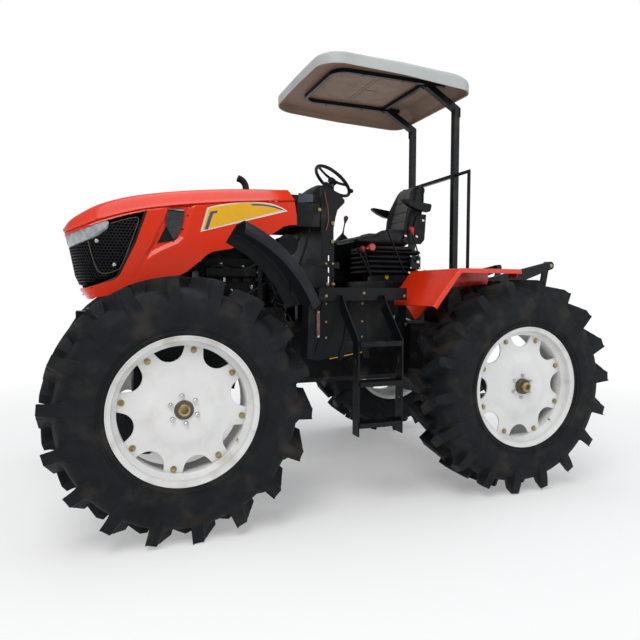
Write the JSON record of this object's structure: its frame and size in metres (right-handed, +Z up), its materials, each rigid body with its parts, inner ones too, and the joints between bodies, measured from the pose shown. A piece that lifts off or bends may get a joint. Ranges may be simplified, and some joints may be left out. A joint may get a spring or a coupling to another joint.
{
  "type": "farm tractor",
  "caption": "Open-platform farm tractor with equal wheels on deep-lug paddy tyres, a canopy, an opening hood, steered front wheels and a rear three-point hitch.",
  "frame": {"origin": "on the ground under the middle of the tractor's outer box", "axes": "+X forward, +Y to the driver's left, +Z up"},
  "size_m": [4.4524, 2.482, 3.3578],
  "materials": {
    "tyre_rubber": "matt",
    "rim_white": "semi-gloss",
    "body_orange": "gloss",
    "casting_orange": "painted",
    "frame_black": "satin",
    "engine_black": "painted",
    "plastic_black": "matt",
    "seat_vinyl": "grained",
    "canopy_white": "satin",
    "lamp_glass": "clear",
    "bright_steel": "machined"
  },
  "bodies": {
    "chassis": {"front_axle": "casting_orange", "front_frame": "frame_black", "engine_block": "engine_black", "radiator": "engine_black", "air_cleaner": "plastic_black", "transmission": "casting_orange", "rear_casing": "casting_orange", "axle_trumpets": "casting_orange", "rear_cowl": "frame_black", "dash_tower": "frame_black", "dash_panel": "plastic_black", "steering_column": "plastic_black", "platform_frame": "frame_black", "platform_floor": "frame_black", "seat_deck": "frame_black", "side_tanks": "frame_black", "ladders": "frame_black", "front_fenders": "plastic_black", "rear_fenders": "body_orange", "seat_base": "plastic_black", "seat_cushion": "seat_vinyl", "seat_back": "seat_vinyl", "seat_frame": "frame_black", "gear_console": "plastic_black", "canopy_frame": "frame_black", "canopy_roof": "canopy_white", "lift_housing": "frame_black", "drawbar": "frame_black", "pto_shaft": "bright_steel"},
    "hood": {"hood_shell": "body_orange", "hood_grille": "plastic_black", "headlamps": "lamp_glass", "tail_pipe": "frame_black"},
    "knuckle_left": {"knuckle_left": "casting_orange"},
    "knuckle_right": {"knuckle_right": "casting_orange"},
    "tie_rod": {"tie_rod": "bright_steel"},
    "wheel_front_left": {"tyre_front_left": "tyre_rubber", "rim_front_left": "rim_white"},
    "wheel_front_right": {"tyre_front_right": "tyre_rubber", "rim_front_right": "rim_white"},
    "wheel_rear_left": {"tyre_rear_left": "tyre_rubber", "rim_rear_left": "rim_white"},
    "wheel_rear_right": {"tyre_rear_right": "tyre_rubber", "rim_rear_right": "rim_white"},
    "steering_wheel": {"steering_wheel": "plastic_black"},
    "lift_arms": {"lift_arms": "frame_black"},
    "lift_rod_left": {"lift_rod_left": "frame_black"},
    "lift_rod_right": {"lift_rod_right": "frame_black"},
    "lower_link_left": {"lower_link_left": "frame_black"},
    "lower_link_right": {"lower_link_right": "frame_black"}
  },
  "joints": [
    {"name": "steer_left", "type": "hinge", "parent": "chassis", "child": "knuckle_left", "pos_m": [1.415, 0.8, 0.813], "axis": [0, 0, 1], "range_deg": [-28, 28]},
    {"name": "steer_right", "type": "hinge", "parent": "chassis", "child": "knuckle_right", "pos_m": [1.415, -0.8, 0.813], "axis": [0, 0, 1], "range_deg": [-28, 28]},
    {"name": "tie_rod_swing", "type": "hinge", "parent": "knuckle_left", "child": "tie_rod", "pos_m": [1.205, 0.8, 0.683], "axis": [0, 0, 1], "range_deg": [-28, 28]},
    {"name": "roll_front_left", "type": "hinge", "parent": "knuckle_left", "child": "wheel_front_left", "pos_m": [1.415, 1.026, 0.813], "axis": [0, 1, 0], "continuous": true},
    {"name": "roll_front_right", "type": "hinge", "parent": "knuckle_right", "child": "wheel_front_right", "pos_m": [1.415, -1.026, 0.813], "axis": [0, 1, 0], "continuous": true},
    {"name": "roll_rear_left", "type": "hinge", "parent": "chassis", "child": "wheel_rear_left", "pos_m": [-1.135, 1.026, 0.813], "axis": [0, 1, 0], "continuous": true},
    {"name": "roll_rear_right", "type": "hinge", "parent": "chassis", "child": "wheel_rear_right", "pos_m": [-1.135, -1.026, 0.813], "axis": [0, 1, 0], "continuous": true},
    {"name": "steering_wheel_turn", "type": "hinge", "parent": "chassis", "child": "steering_wheel", "pos_m": [-0.047, 0, 2.494], "axis": [-0.6481, 0, 0.7615], "range_deg": [-420, 420]},
    {"name": "hood_open", "type": "hinge", "parent": "chassis", "child": "hood", "pos_m": [0.448, 0, 2.32], "axis": [0, -1, 0], "range_deg": [0, 50]},
    {"name": "hitch_lower", "type": "hinge", "parent": "chassis", "child": "lift_arms", "pos_m": [-1.45, 0, 1.59], "axis": [0, -1, 0], "range_deg": [0, 40]},
    {"name": "lift_rod_swing_left", "type": "hinge", "parent": "lift_arms", "child": "lift_rod_left", "pos_m": [-2.118, 0.3375, 1.78], "axis": [0, -1, 0], "range_deg": [-44.59, 0]},
    {"name": "lower_link_swing_left", "type": "hinge", "parent": "chassis", "child": "lower_link_left", "pos_m": [-1.3, 0.38, 0.64], "axis": [0, -1, 0], "range_deg": [0, 40.29]},
    {"name": "lift_rod_swing_right", "type": "hinge", "parent": "lift_arms", "child": "lift_rod_right", "pos_m": [-2.118, -0.3375, 1.78], "axis": [0, -1, 0], "range_deg": [-44.59, 0]},
    {"name": "lower_link_swing_right", "type": "hinge", "parent": "chassis", "child": "lower_link_right", "pos_m": [-1.3, -0.38, 0.64], "axis": [0, -1, 0], "range_deg": [0, 40.29]}
  ],
  "couplings": [
    {"joint": "steer_right", "follows": "steer_left", "ratio": 1},
    {"joint": "tie_rod_swing", "follows": "steer_left", "ratio": -1},
    {"joint": "steering_wheel_turn", "follows": "steer_left", "ratio": 15},
    {"joint": "lift_rod_swing_left", "follows": "hitch_lower", "ratio": -1.1149},
    {"joint": "lower_link_swing_left", "follows": "hitch_lower", "ratio": 1.0074},
    {"joint": "lift_rod_swing_right", "follows": "hitch_lower", "ratio": -1.1149},
    {"joint": "lower_link_swing_right", "follows": "hitch_lower", "ratio": 1.0074}
  ]
}
